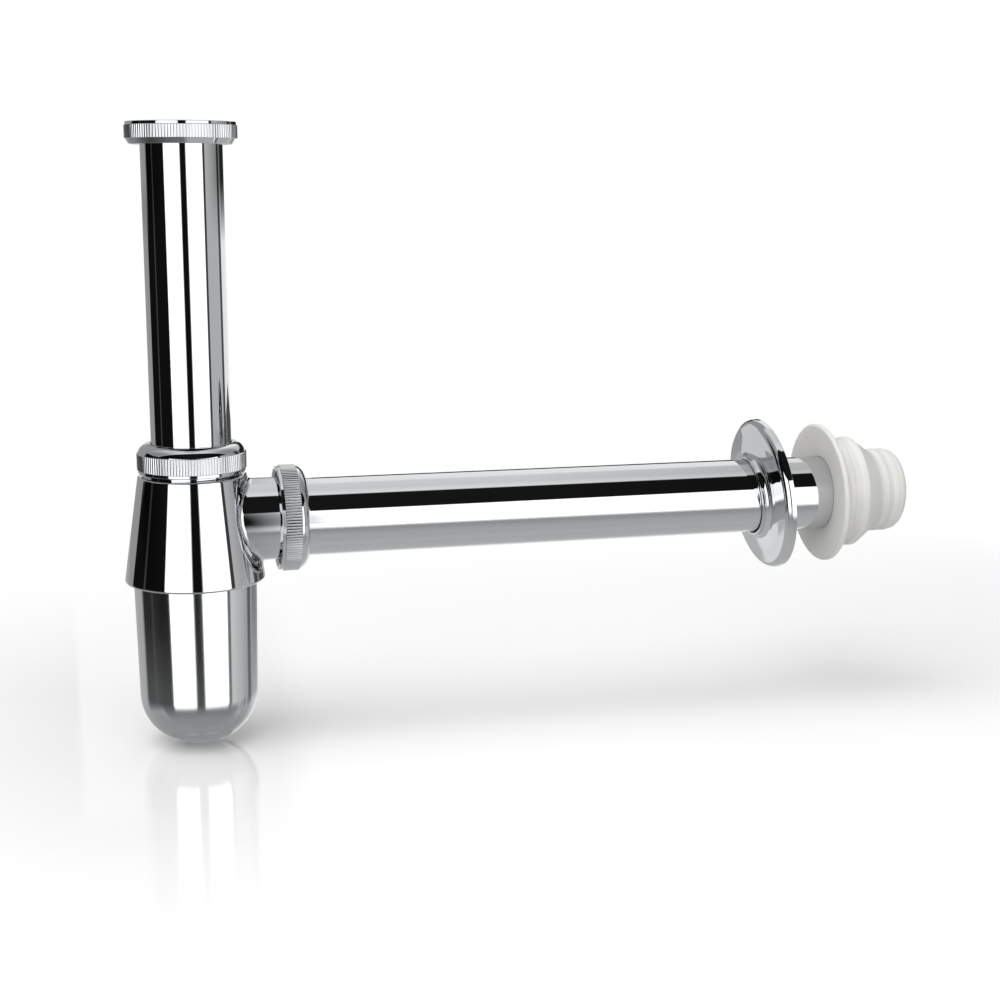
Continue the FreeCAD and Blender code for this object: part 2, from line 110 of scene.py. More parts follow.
def makeSatinPlate(look):
    finish, tree, shader = newFinish("satinPlate", look["base"], Metallic=1.0)
    place = addNode(tree, "ShaderNodeTexCoord")
    grain = addNode(tree, "ShaderNodeTexNoise", {
        "Vector": place.outputs["Object"], "Scale": 1 / (look["grain"] * mm), "Detail": 4.0})
    rough = addNode(tree, "ShaderNodeMapRange", {
        "Value": grain.outputs[0], "To Min": look["rough"][0], "To Max": look["rough"][1]})
    bump = addNode(tree, "ShaderNodeBump", {"Height": grain.outputs[0], "Distance": look["depth"] * mm})
    tree.links.new(rough.outputs[0], shader.inputs["Roughness"])
    tree.links.new(bump.outputs[0], shader.inputs["Normal"])
    return finish


# Soft moulded PVC, milky and a little see-through, with cloudy flow marks and a matt skin.
sleeveLook = {"pale": "#f3f2ef", "cloudy": "#eae8e4", "cloud": 16.0, "grain": 0.5, "depth": 0.012,
              "rough": (0.36, 0.5), "milk": 0.7, "milkDepth": 5.0, "milkTint": (1.0, 0.95, 0.9)}


def makeMilkyRubber(look):
    finish, tree, shader = newFinish("milkyRubber", look["pale"], IOR=1.53, Subsurface_Weight=look["milk"],
                                     Subsurface_Radius=look["milkTint"], Subsurface_Scale=look["milkDepth"] * mm)
    place = addNode(tree, "ShaderNodeTexCoord")
    cloud = addNode(tree, "ShaderNodeTexNoise", {
        "Vector": place.outputs["Object"], "Scale": 1 / (look["cloud"] * mm), "Detail": 2.0})
    tint = addNode(tree, "ShaderNodeMix", {
        0: cloud.outputs[0], 6: hexToLinear(look["pale"]), 7: hexToLinear(look["cloudy"])}, data_type="RGBA")
    grain = addNode(tree, "ShaderNodeTexNoise", {
        "Vector": place.outputs["Object"], "Scale": 1 / (look["grain"] * mm), "Detail": 3.0})
    rough = addNode(tree, "ShaderNodeMapRange", {
        "Value": grain.outputs[0], "To Min": look["rough"][0], "To Max": look["rough"][1]})
    bump = addNode(tree, "ShaderNodeBump", {"Height": grain.outputs[0], "Distance": look["depth"] * mm})
    tree.links.new(tint.outputs[2], shader.inputs["Base Color"])
    tree.links.new(rough.outputs[0], shader.inputs["Roughness"])
    tree.links.new(bump.outputs[0], shader.inputs["Normal"])
    return finish


# Moulded EPDM seals: black with a grey bloom, matt, finely pitted.
sealLook = {"dark": "#161616", "bloom": "#2b2b2a", "cloud": 5.0, "pit": 0.25, "depth": 0.02, "rough": (0.5, 0.72)}
# Turned polypropylene slip rings: waxy white, cloudy in tone, with fine pits.
ringLook = {"dark": "#dddbd4", "bloom": "#efeee9", "cloud": 4.0, "pit": 0.4, "depth": 0.01, "rough": (0.3, 0.42)}


def makeMoulded(name, look, **values):
    finish, tree, shader = newFinish(name, look["dark"], **values)
    place = addNode(tree, "ShaderNodeTexCoord")
    cloud = addNode(tree, "ShaderNodeTexNoise", {
        "Vector": place.outputs["Object"], "Scale": 1 / (look["cloud"] * mm), "Detail": 3.0})
    tint = addNode(tree, "ShaderNodeMix", {
        0: cloud.outputs[0], 6: hexToLinear(look["dark"]), 7: hexToLinear(look["bloom"])}, data_type="RGBA")
    pit = addNode(tree, "ShaderNodeTexVoronoi", {
        "Vector": place.outputs["Object"], "Scale": 1 / (look["pit"] * mm)})
    rough = addNode(tree, "ShaderNodeMapRange", {
        "Value": cloud.outputs[0], "To Min": look["rough"][0], "To Max": look["rough"][1]})
    bump = addNode(tree, "ShaderNodeBump", {"Height": pit.outputs[0], "Distance": look["depth"] * mm})
    tree.links.new(tint.outputs[2], shader.inputs["Base Color"])
    tree.links.new(rough.outputs[0], shader.inputs["Roughness"])
    tree.links.new(bump.outputs[0], shader.inputs["Normal"])
    return finish


chromePlate = makeChromePlate(chromeLook)
satinPlate = makeSatinPlate(satinLook)
milkyRubber = makeMilkyRubber(sleeveLook)
blackRubber = makeMoulded("blackRubber", sealLook, IOR=1.5)
slipPlastic = makeMoulded("slipPlastic", ringLook, IOR=1.49, Subsurface_Weight=0.2, Subsurface_Scale=1.0 * mm)
print("finishes made")

seals = ("inlet_washer", "neck_cone_seal", "cup_seal", "outlet_cone_seal")
slipRings = ("neck_slip_ring", "outlet_slip_ring")
for names, finish in ((seals, blackRubber), (slipRings, slipPlastic)):
    for name in names:
        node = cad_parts[name]
        node.data.materials.clear()
        node.data.materials.append(finish)
print("seals and slip rings finished")

turning = {"steps": 192, "arcStep": 7.0, "hold": 0.14, "sharp": 28.0, "weld": 0.0015}
thread = {"sunk": 0.2, "flank": 0.44, "blunt": 0.1, "steps": 96}  # flank and blunt are shares of the pitch


def corner(r, z, rounding=0.0, arc=0.0, cuts=0):
    # one corner of a section: a rounding, or an arc or a few cuts on the way to the next one
    return {"at": Vector((r, z)), "rounding": rounding, "arc": arc, "cuts": cuts}


def arcPoints(start, end, radius):
    # after start up to end; a positive radius turns left
    side = 1 if radius > 0 else -1
    chord = end - start
    half = chord.length / 2
    leftwards = Vector((-chord.y, chord.x)).normalized()
    centre = (start + end) / 2 + leftwards * side * sqrt(max(0.0, radius * radius - half * half))
    sweep = 2 * asin(min(1.0, half / abs(radius))) * side
    steps = max(3, round(abs(sweep) / radians(turning["arcStep"])))
    return [centre + Matrix.Rotation(sweep * k / steps, 2) @ (start - centre) for k in range(1, steps + 1)]


def sectionPoints(corners, closed=True):
    # each corner becomes its first and last point, with the rounding in between
    count = len(corners)
    runs = []
    for i, this in enumerate(corners):
        here = this["at"]
        if not this["rounding"] or (not closed and i in (0, count - 1)):
            runs.append([here])
            continue
        inward = (here - corners[i - 1]["at"]).normalized()
        outward = (corners[(i + 1) % count]["at"] - here).normalized()
        turn = atan2(inward.x * outward.y - inward.y * outward.x, inward.dot(outward))
        reach = this["rounding"] * tan(abs(turn) / 2)
        first = here - inward * reach
        runs.append([first] + arcPoints(first, here + outward * reach, this["rounding"] * (1 if turn > 0 else -1)))
    points = []
    for i, run in enumerate(runs):
        points += run
        if i == count - 1 and not closed:
            break
        start, end = run[-1], runs[(i + 1) % count][0]
        if corners[i]["arc"]:
            points += arcPoints(start, end, corners[i]["arc"])[:-1]
            continue
        way = end - start
        hold = turning["hold"]
        if way.length > 3 * hold:  # holding rings keep the straight faces true up to the roundings
            points.append(start + way.normalized() * hold)
            points += [start + way * k / (corners[i]["cuts"] + 1) for k in range(1, corners[i]["cuts"] + 1)]
            points.append(end - way.normalized() * hold)
    return points + points[:1] if closed else points


def turnSection(name, corners, closed=True, steps=turning["steps"]):
    # the section is drawn point by point in the XZ plane and spun about Z
    points = sectionPoints(corners, closed)
    bpy.ops.object.select_all(action="DESELECT")
    bpy.ops.mesh.primitive_plane_add(size=mm)
    piece = bpy.context.object
    piece.name = name
    bpy.ops.object.mode_set(mode="EDIT")
    bpy.ops.mesh.select_all(action="SELECT")
    bpy.ops.mesh.merge(type="CENTER")
    bpy.ops.transform.translate(value=(points[0].x * mm, 0, points[0].y * mm))
    for before, after in zip(points, points[1:]):
        way = (after - before) * mm
        bpy.ops.mesh.extrude_vertices_move(TRANSFORM_OT_translate={"value": (way.x, 0, way.y)})
    bpy.ops.mesh.select_all(action="SELECT")
    bpy.ops.mesh.spin(steps=steps, angle=2 * pi, center=(0, 0, 0), axis=(0, 0, 1), use_auto_merge=True)
    bpy.ops.mesh.select_all(action="SELECT")
    bpy.ops.mesh.remove_doubles(threshold=turning["weld"] * mm)
    bpy.ops.mesh.normals_make_consistent(inside=False)
    bpy.ops.object.mode_set(mode="OBJECT")
    return piece


def pressRibs(piece, low, high, size):
    # each rib is a low round arch: its points go in by the arch's drop, step by step down to the valley
    perRib = size["ribSteps"]
    half = pi * size["crest"] / size["ribs"]
    deep = size["crest"] - size["valley"]
    archRadius = (half * half + deep * deep) / (2 * deep)
    for step in range(1, perRib // 2 + 1):
        aside = half * 2 * step / perRib
        share = 1 - (archRadius - sqrt(archRadius * archRadius - aside * aside)) / size["crest"]
        bpy.ops.object.mode_set(mode="EDIT")
        bpy.ops.mesh.select_all(action="DESELECT")
        shape = bmesh.from_edit_mesh(piece.data)
        for vert in shape.verts:
            radius = hypot(vert.co.x, vert.co.y) / mm
            place = round(atan2(vert.co.y, vert.co.x) / (2 * pi / (size["ribs"] * perRib))) % perRib
            vert.select = (low < vert.co.z / mm < high and radius > size["crest"] - 0.01
                           and min(place, perRib - place) == step)
        shape.select_flush_mode()
        bmesh.update_edit_mesh(piece.data)
        bpy.ops.transform.resize(value=(share, share, 1), center_override=(0, 0, 0))
        bpy.ops.object.mode_set(mode="OBJECT")


def windThread(piece, root, crest, low, high, pitch):
    # a ridge on a helix, cut off level at both ends and joined to the piece
    bpy.ops.object.select_all(action="DESELECT")
    bpy.ops.mesh.primitive_circle_add(vertices=4, radius=1.0, location=(0, 0, 0), rotation=(pi / 2, 0, 0))
    ridge = bpy.context.object
    ridge.name = piece.name + "Thread"
    bpy.ops.object.transform_apply(location=True, rotation=True, scale=True)
    sunk = root - thread["sunk"] if root < crest else root + thread["sunk"]
    blunt = thread["blunt"] * pitch
    flank = thread["flank"] * pitch
    places = ((sunk, -flank), (crest, -blunt), (crest, blunt), (sunk, flank))
    for vert, (r, z) in zip(ridge.data.vertices, places):
        vert.co = (r * mm, 0, (low - pitch + z) * mm)
    winding = ridge.modifiers.new("winding", "SCREW")
    winding.axis = "Z"
    winding.angle = 2 * pi
    winding.screw_offset = pitch * mm
    winding.iterations = int((high - low) / pitch) + 3
    winding.steps = winding.render_steps = thread["steps"]
    winding.use_merge_vertices = True
    bpy.ops.object.modifier_apply(modifier=winding.name)
    bpy.ops.object.mode_set(mode="EDIT")
    for height, upper in ((low, False), (high, True)):
        bpy.ops.mesh.select_all(action="SELECT")
        bpy.ops.mesh.bisect(plane_co=(0, 0, height * mm), plane_no=(0, 0, 1), use_fill=True,
                            clear_outer=upper, clear_inner=not upper)
    bpy.ops.mesh.select_all(action="SELECT")
    bpy.ops.mesh.normals_make_consistent(inside=False)
    bpy.ops.object.mode_set(mode="OBJECT")
    joinInto(piece, ridge)


def joinInto(piece, *others):
    bpy.ops.object.select_all(action="DESELECT")
    for item in (piece, *others):
        item.select_set(True)
    bpy.context.view_layer.objects.active = piece
    bpy.ops.object.join()


def layDown(piece, across, up, lean=0.0):
    # from upright on Z to lying along the outlet
    bpy.ops.object.select_all(action="DESELECT")
    piece.select_set(True)
    bpy.context.view_layer.objects.active = piece
    piece.rotation_euler = (0, radians(90 - lean), 0)
    piece.location = (across * mm, 0, up * mm)
    bpy.ops.object.transform_apply(location=True, rotation=True, scale=True)


def finishPiece(piece, body, finish, inner=None, isInner=None):
    piece.data.materials.clear()
    piece.data.materials.append(finish)
    if inner:
        piece.data.materials.append(inner)
        for face in piece.data.polygons:
            face.material_index = 1 if isInner(face.center / mm) else 0
    bpy.ops.object.select_all(action="DESELECT")
    piece.select_set(True)
    bpy.context.view_layer.objects.active = piece
    bpy.ops.object.shade_smooth_by_angle(angle=radians(turning["sharp"]))
    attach(piece, body)
    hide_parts(body)
    print(piece.name, len(piece.data.polygons), "faces")


inletNut = {"hole": 16.25, "foot": -8.6, "footRadius": 20.15, "lip": 21.45, "crest": 21.9, "valley": 21.61,
            "ribs": 112, "ribSteps": 6, "bandLow": -6.55, "bandHigh": -1.2, "ribEnd": 0.2, "floor": -6.8,
            "threadRoot": 20.175, "threadCrest": 19.475, "threadEnd": -3.6, "threadTop": -0.1, "pitch": 2.309,
            "edge": 0.3, "footEdge": 0.5, "boreEdge": 0.2}


def makeInletNut(size):
    nut = turnSection("inletNut", [
        corner(size["hole"], size["foot"], size["edge"]),
        corner(size["footRadius"], size["foot"], size["footEdge"]),
        corner(size["lip"], size["bandLow"]),
        corner(size["crest"], size["bandLow"] + size["ribEnd"]),
        corner(size["crest"], size["bandHigh"] - size["ribEnd"]),
        corner(size["lip"], size["bandHigh"]),
        corner(size["lip"], 0, size["edge"]),
        corner(size["threadRoot"], 0, size["boreEdge"]),
        corner(size["threadRoot"], size["floor"]),
        corner(size["hole"], size["floor"], size["boreEdge"]),
    ], steps=size["ribSteps"] * size["ribs"])
    pressRibs(nut, size["bandLow"], size["bandHigh"], size)
    windThread(nut, size["threadRoot"], size["threadCrest"], size["threadEnd"], size["threadTop"], size["pitch"])
    inside = size["threadRoot"] + 0.05
    finishPiece(nut, "inlet_nut", chromePlate, satinPlate,
                lambda at: hypot(at.x, at.y) < inside and at.z > size["floor"] - 0.01)


inletTube = {"bore": 15.0, "radius": 16.0, "flange": 19.225, "flangeLow": -6.8, "flangeTop": -5.62, "end": -225.6,
             "edge": 0.3, "mouth": 0.4}


def makeInletTube(size):
    tube = turnSection("inletTube", [
        corner(size["bore"], size["end"], size["edge"]),
        corner(size["radius"], size["end"], size["edge"]),
        corner(size["radius"], size["flangeLow"], size["edge"]),
        corner(size["flange"], size["flangeLow"], size["edge"]),
        corner(size["flange"], size["flangeTop"], size["edge"]),
        corner(size["bore"], size["flangeTop"], size["mouth"]),
    ])
    finishPiece(tube, "inlet_tube", chromePlate, satinPlate,
                lambda at: hypot(at.x, at.y) < size["bore"] + 0.1)


# both joints have the same nut, measured along its axis from the shoulder that it screws down to
jointNut = {"bore": 19.6, "mouth": 0.9, "hole": 16.25, "lip": 21.45, "crest": 21.9, "valley": 21.61, "ribs": 112,
            "ribSteps": 6, "open": 1.3, "bandLow": 2.6, "bandHigh": 9.35, "ribEnd": 0.2, "ledge": 10.3,
            "dome": 4.9, "domeTop": 13.05, "land": 16.9, "edge": 0.3, "boreEdge": 0.1, "holeEdge": 0.25}


def makeJointNut(size, name):
    nut = turnSection(name, [
        corner(size["bore"], size["open"] + size["mouth"], size["boreEdge"]),
        corner(size["bore"] + size["mouth"], size["open"], size["boreEdge"]),
        corner(size["lip"], size["open"], size["edge"]),
        corner(size["lip"], size["bandLow"]),
        corner(size["crest"], size["bandLow"] + size["ribEnd"]),
        corner(size["crest"], size["bandHigh"] - size["ribEnd"]),
        corner(size["lip"], size["bandHigh"], arc=size["dome"]),
        corner(size["land"], size["domeTop"]),
        corner(size["hole"], size["domeTop"], size["holeEdge"]),
        corner(size["hole"], size["ledge"]),
        corner(size["bore"], size["ledge"]),
    ], steps=size["ribSteps"] * size["ribs"])
    pressRibs(nut, size["bandLow"], size["bandHigh"], size)
    return nut


def finishJointNut(nut, body, size, along):
    # the bore's faces are duller than the outside
    def inBore(at):
        out, height = along(at)
        return out < size["bore"] + 0.05 and size["open"] + size["mouth"] < height < size["ledge"] + 0.05
    finishPiece(nut, body, chromePlate, satinPlate, inBore)


trapBody = {"shoulder": -139.6, "shoulderRadius": 21.8, "shoulderRound": 0.84, "lip": -183.2, "lipRadius": 28.4,
            "lipRound": 1.0, "socket": 25.6, "seat": -177.4, "chamberFoot": 23.4, "chamberTop": -142.6,
            "chamberRadius": 19.8, "bore": 16.25, "threadRoot": 18.9, "threadCrest": 19.5, "neckTop": -131.1,
            "sealSeat": 18.5, "seatDepth": 3.5, "pitch": 2.309, "coneCuts": 34, "chamberCuts": 56,
            "socketEdge": 0.4, "neckEdge": 0.15, "sealEdge": 0.1, "boreEdge": 0.3, "seatEdge": 0.2}
branch = {"axis": -159.4, "radius": 17.0, "fillet": 1.82, "reach": 32.4, "collar": 35.4, "end": 40.9,
          "apron": 0.3, "sunk": 0.02, "hole": 17.6, "chamberHole": 17.2, "rootSteps": 10}


def makeTrapBody(size, arm):
    slope = (size["lipRadius"] - size["shoulderRadius"]) / (size["shoulder"] - size["lip"])
    tilt = atan2(slope, 1)

    def coneRadius(z):
        return size["shoulderRadius"] + slope * (size["shoulder"] - z)

    def chamberRadius(z):
        share = (size["chamberTop"] - z) / (size["chamberTop"] - size["seat"])
        return size["chamberRadius"] + (size["chamberFoot"] - size["chamberRadius"]) * share

    cone = turnSection("trapBody", [
        corner(size["socket"], size["lip"], size["socketEdge"]),
        corner(size["lipRadius"], size["lip"], size["lipRound"], cuts=size["coneCuts"]),
        corner(size["shoulderRadius"], size["shoulder"], size["shoulderRound"]),
        corner(size["threadRoot"], size["shoulder"]),
        corner(size["threadRoot"], size["neckTop"], size["neckEdge"]),
        corner(size["sealSeat"], size["neckTop"], size["sealEdge"]),
        corner(size["bore"], size["neckTop"] - size["seatDepth"]),
        corner(size["bore"], size["chamberTop"], size["boreEdge"]),
        corner(size["chamberRadius"], size["chamberTop"], cuts=size["chamberCuts"]),
        corner(size["chamberFoot"], size["seat"], size["seatEdge"]),
        corner(size["socket"], size["seat"]),
    ])

    # the branch's hole through the wall, hidden under its root
    bpy.ops.object.mode_set(mode="EDIT")
    bpy.ops.mesh.select_all(action="DESELECT")
    shape = bmesh.from_edit_mesh(cone.data)
    for face in shape.faces:
        middle = face.calc_center_median() / mm
        outside = hypot(middle.x, middle.y) > (coneRadius(middle.z) + chamberRadius(middle.z)) / 2
        reach = arm["hole"] if outside else arm["chamberHole"]
        near = [hypot(v.co.y / mm, v.co.z / mm - arm["axis"]) < reach for v in face.verts]
        face.select = middle.x > 0 and all(near)
    bmesh.update_edit_mesh(cone.data)
    bpy.ops.mesh.delete(type="FACE")
    bpy.ops.object.mode_set(mode="OBJECT")

    # the root is a ball rolled round the corner of branch and cone, ring by ring along the branch
    f = arm["fillet"]

    def rootPoint(t, share):
        y, z = (arm["radius"] + f) * sin(t), arm["axis"] + (arm["radius"] + f) * cos(t)
        reach = coneRadius(z) + f / cos(tilt)
        x = sqrt(reach * reach - y * y)
        toBranch = Vector((0, -sin(t), -cos(t)))
        toCone = -Vector((cos(tilt) * x / reach, cos(tilt) * y / reach, sin(tilt)))
        return Vector((x, y, z)) + f * toCone.slerp(toBranch, share)

    def apronPoint(t):
        foot = rootPoint(t, 0.0)
        spoke = Vector((foot.y, foot.z - arm["axis"]))
        spoke *= 1 + arm["apron"] / spoke.length
        y, z = spoke.x, arm["axis"] + spoke.y
        return Vector((sqrt(coneRadius(z) ** 2 - y * y) - arm["sunk"], y, z))

    def ringPoint(t, radius, x):
        return Vector((x, radius * sin(t), arm["axis"] + radius * cos(t)))

    def onChamber(t, radius):
        y, z = radius * sin(t), arm["axis"] + radius * cos(t)
        return Vector((sqrt(chamberRadius(z) ** 2 - y * y) - arm["sunk"], y, z))

    arms = [corner(arm["radius"], arm["collar"]), corner(size["threadRoot"], arm["collar"]),
            corner(size["threadRoot"], arm["end"], size["neckEdge"]),
            corner(size["sealSeat"], arm["end"], size["sealEdge"]),
            corner(size["bore"], arm["end"] - size["seatDepth"])]
    rings = []
    steps = turning["steps"]
    angles = [2 * pi * k / steps for k in range(steps)]
    rings.append([apronPoint(t) for t in angles])
    for k in range(arm["rootSteps"] + 1):
        rings.append([rootPoint(t, k / arm["rootSteps"]) for t in angles])
    rings.append([ringPoint(t, arm["radius"], rootPoint(t, 1.0).x + 0.2) for t in angles])
    rings.append([ringPoint(t, arm["radius"], arm["reach"] - 0.5) for t in angles])
    for point in sectionPoints(arms, closed=False):
        rings.append([ringPoint(t, point.x, point.y) for t in angles])
    rings.append([onChamber(t, size["bore"]) for t in angles])
    rings.append([onChamber(t, arm["chamberHole"] - 0.05) for t in angles])
    mesh = bpy.data.meshes.new("branch")
    shape = bmesh.new()
    verts = [[shape.verts.new(point * mm) for point in ring] for ring in rings]
    for low, high in zip(verts, verts[1:] + verts[:1]):
        for k in range(steps):
            shape.faces.new((low[k], low[k - 1], high[k - 1], high[k]))
    bmesh.ops.recalc_face_normals(shape, faces=shape.faces)
    shape.to_mesh(mesh)
    shape.free()
    root = bpy.data.objects.new("branch", mesh)
    bpy.context.collection.objects.link(root)

    # a thin ring, buried in the branch's wall, carries the outlet's thread
    threadLength = arm["end"] - arm["collar"]
    ringIn, ringOut, ringEnd = size["threadRoot"] - 0.3, size["threadRoot"] - 0.1, threadLength - 0.3
    collar = turnSection("collar", [
        corner(ringIn, 0), corner(ringOut, 0), corner(ringOut, ringEnd), corner(ringIn, ringEnd)])
    windThread(collar, size["threadRoot"], size["threadCrest"], 0.0, threadLength, size["pitch"])
    layDown(collar, arm["collar"], arm["axis"])
    windThread(cone, size["threadRoot"], size["threadCrest"], size["shoulder"], size["neckTop"], size["pitch"])
    joinInto(cone, root, collar)

    def inBody(at):
        out = hypot(at.x, at.y)
        if hypot(at.y, at.z - arm["axis"]) < arm["radius"] + 2.5 and at.x > size["chamberRadius"]:
            return hypot(at.y, at.z - arm["axis"]) < size["bore"] + 0.2
        if at.z > size["shoulder"]:
            return out < size["bore"] + 0.1
        return out < coneRadius(at.z) - 1.2 and at.z > size["lip"] + 0.5
    finishPiece(cone, "trap_body", chromePlate, satinPlate, inBody)


bottleCup = {"wall": 1.3, "mouth": -178.9, "neck": -183.0, "neckRadius": 24.85, "footRadius": 24.0,
             "foot": -230.385, "wallCuts": 8, "cornerCentre": 3.0, "cornerRadius": 21.0,
             "floorEdge": (10.0, -250.184), "floorRadius": 30.0, "bottom": -251.9,
             "threadCrest": 25.5, "threadGap": 0.25, "pitch": 1.5, "mouthEdge": 0.2}


def makeBottleCup(size):
    wall = size["wall"]
    edgeR, edgeZ = size["floorEdge"]
    centre = Vector((0, size["bottom"] + size["floorRadius"]))
    innerEdge = centre + (Vector((edgeR, edgeZ)) - centre) * (1 - wall / size["floorRadius"])
    cup = turnSection("bottleCup", [
        corner(0, size["bottom"], arc=size["floorRadius"]),
        corner(edgeR, edgeZ, arc=size["cornerRadius"]),
        corner(size["footRadius"], size["foot"], cuts=size["wallCuts"]),
        corner(size["neckRadius"], size["neck"]),
        corner(size["neckRadius"], size["mouth"], size["mouthEdge"]),
        corner(size["neckRadius"] - wall, size["mouth"], size["mouthEdge"]),
        corner(size["neckRadius"] - wall, size["neck"], cuts=size["wallCuts"]),
        corner(size["footRadius"] - wall, size["foot"], arc=-(size["cornerRadius"] - wall)),
        corner(innerEdge.x, innerEdge.y, arc=-(size["floorRadius"] - wall)),
        corner(0, size["bottom"] + wall),
    ], closed=False)
    windThread(cup, size["neckRadius"], size["threadCrest"], size["neck"], size["mouth"] - size["threadGap"],
               size["pitch"])

    def inCup(at):
        height = min(1.0, max(0.0, (at.z - size["foot"]) / (size["neck"] - size["foot"])))
        outside = size["footRadius"] + (size["neckRadius"] - size["footRadius"]) * height
        if at.z > size["foot"]:
            return hypot(at.x, at.y) < outside - wall / 2
        fromCorner = hypot(hypot(at.x, at.y) - size["cornerCentre"], at.z - size["foot"])
        fromFloor = hypot(hypot(at.x, at.y), at.z - centre.y)
        return fromCorner < size["cornerRadius"] - wall / 2 and fromFloor < size["floorRadius"] - wall / 2
    finishPiece(cup, "bottle_cup", chromePlate, satinPlate, inCup)


outletTube = {"bore": 15.0, "radius": 16.0, "start": 24.0, "end": 304.0, "axis": -159.4, "edge": 0.3}


def makeOutletTube(size):
    length = size["end"] - size["start"]
    tube = turnSection("outletTube", [
        corner(size["bore"], 0, size["edge"]), corner(size["radius"], 0, size["edge"]),
        corner(size["radius"], length, size["edge"]), corner(size["bore"], length, size["edge"])])
    layDown(tube, size["start"], size["axis"])
    finishPiece(tube, "outlet_tube", chromePlate, satinPlate,
                lambda at: hypot(at.y, at.z - size["axis"]) < size["bore"] + 0.1)


# a pressed sheet, hanging loose on the tube with its top away from the wall
wallFlange = {"radius": 33.0, "rim": 1.6, "rimRound": 3.0, "sheet": 1.0, "face": 78.0, "faceTop": 5.8, "hole": 16.5,
              "collar": 17.65, "collarEnd": 9.0, "hollow": 2.2, "lean": 6.5, "across": 250.5, "axis": -159.4,
              "backEdge": 0.15, "holeEdge": 0.2, "collarEdge": 0.3}


def makeWallFlange(size):
    rimTop = -size["rim"] - size["rimRound"]
    inner = size["sheet"] - size["faceTop"]
    plate = turnSection("wallFlange", [
        corner(size["radius"] - size["sheet"], 0, size["backEdge"]),
        corner(size["radius"] - size["sheet"], -size["rim"], arc=-(size["rimRound"] - size["sheet"])),
        corner(size["radius"] - size["rimRound"], rimTop + size["sheet"], arc=-(size["face"] - size["sheet"])),
        corner(size["collar"] + size["hollow"], inner),
        corner(size["hole"], inner),
        corner(size["hole"], -size["collarEnd"], size["holeEdge"]),
        corner(size["collar"], -size["collarEnd"], size["collarEdge"]),
        corner(size["collar"], -size["faceTop"] - size["hollow"], arc=-size["hollow"]),
        corner(size["collar"] + size["hollow"], -size["faceTop"], arc=size["face"]),
        corner(size["radius"] - size["rimRound"], rimTop, arc=size["rimRound"]),
        corner(size["radius"], -size["rim"]),
        corner(size["radius"], 0, size["backEdge"]),
    ])

    def behind(at):
        out = hypot(at.x, at.y)
        return out < size["hole"] + 0.1 or (out < size["radius"] - size["rimRound"] and at.z > inner - 0.05)
    rise = (size["collarEnd"] - inner) / 2 * sin(radians(size["lean"]))
    backFaces = {face.index for face in plate.data.polygons if behind(face.center / mm)}
    layDown(plate, size["across"], size["axis"] + rise, size["lean"])
    finishPiece(plate, "wall_flange", chromePlate)
    plate.data.materials.append(satinPlate)
    for index in backFaces:
        plate.data.polygons[index].material_index = 1


wallSleeve = {"bore": 16.15, "hug": 16.02, "hugTo": 1.2, "start": 275.5, "axis": -159.4, "flange": 30.5,
              "flangeEdge": 1.3, "drum": 23.6, "drumRound": 0.5, "discCuts": (9, 4),
              "ridge": 24.25, "ridges": (3.8, 10.6), "ridgeFlank": 0.8, "ridgeLand": 2.0,
              "taper": (14.2, 22.2), "taperRounds": (1.2, 2.0), "ridgeRound": 0.5,
              "nose": 17.9, "smallRidge": 18.35, "smallRidges": (23.7, 28.2), "smallFlank": 0.5, "smallLand": 1.8,
              "noseStart": 31.6, "noseRound": 3.6, "end": 35.2, "stop": 14.15, "stopStart": 29.0, "cavity": 20.6,
              "skin": 3.0, "sag": 2.4, "mouthEdge": 0.1, "stopEdge": 0.3}


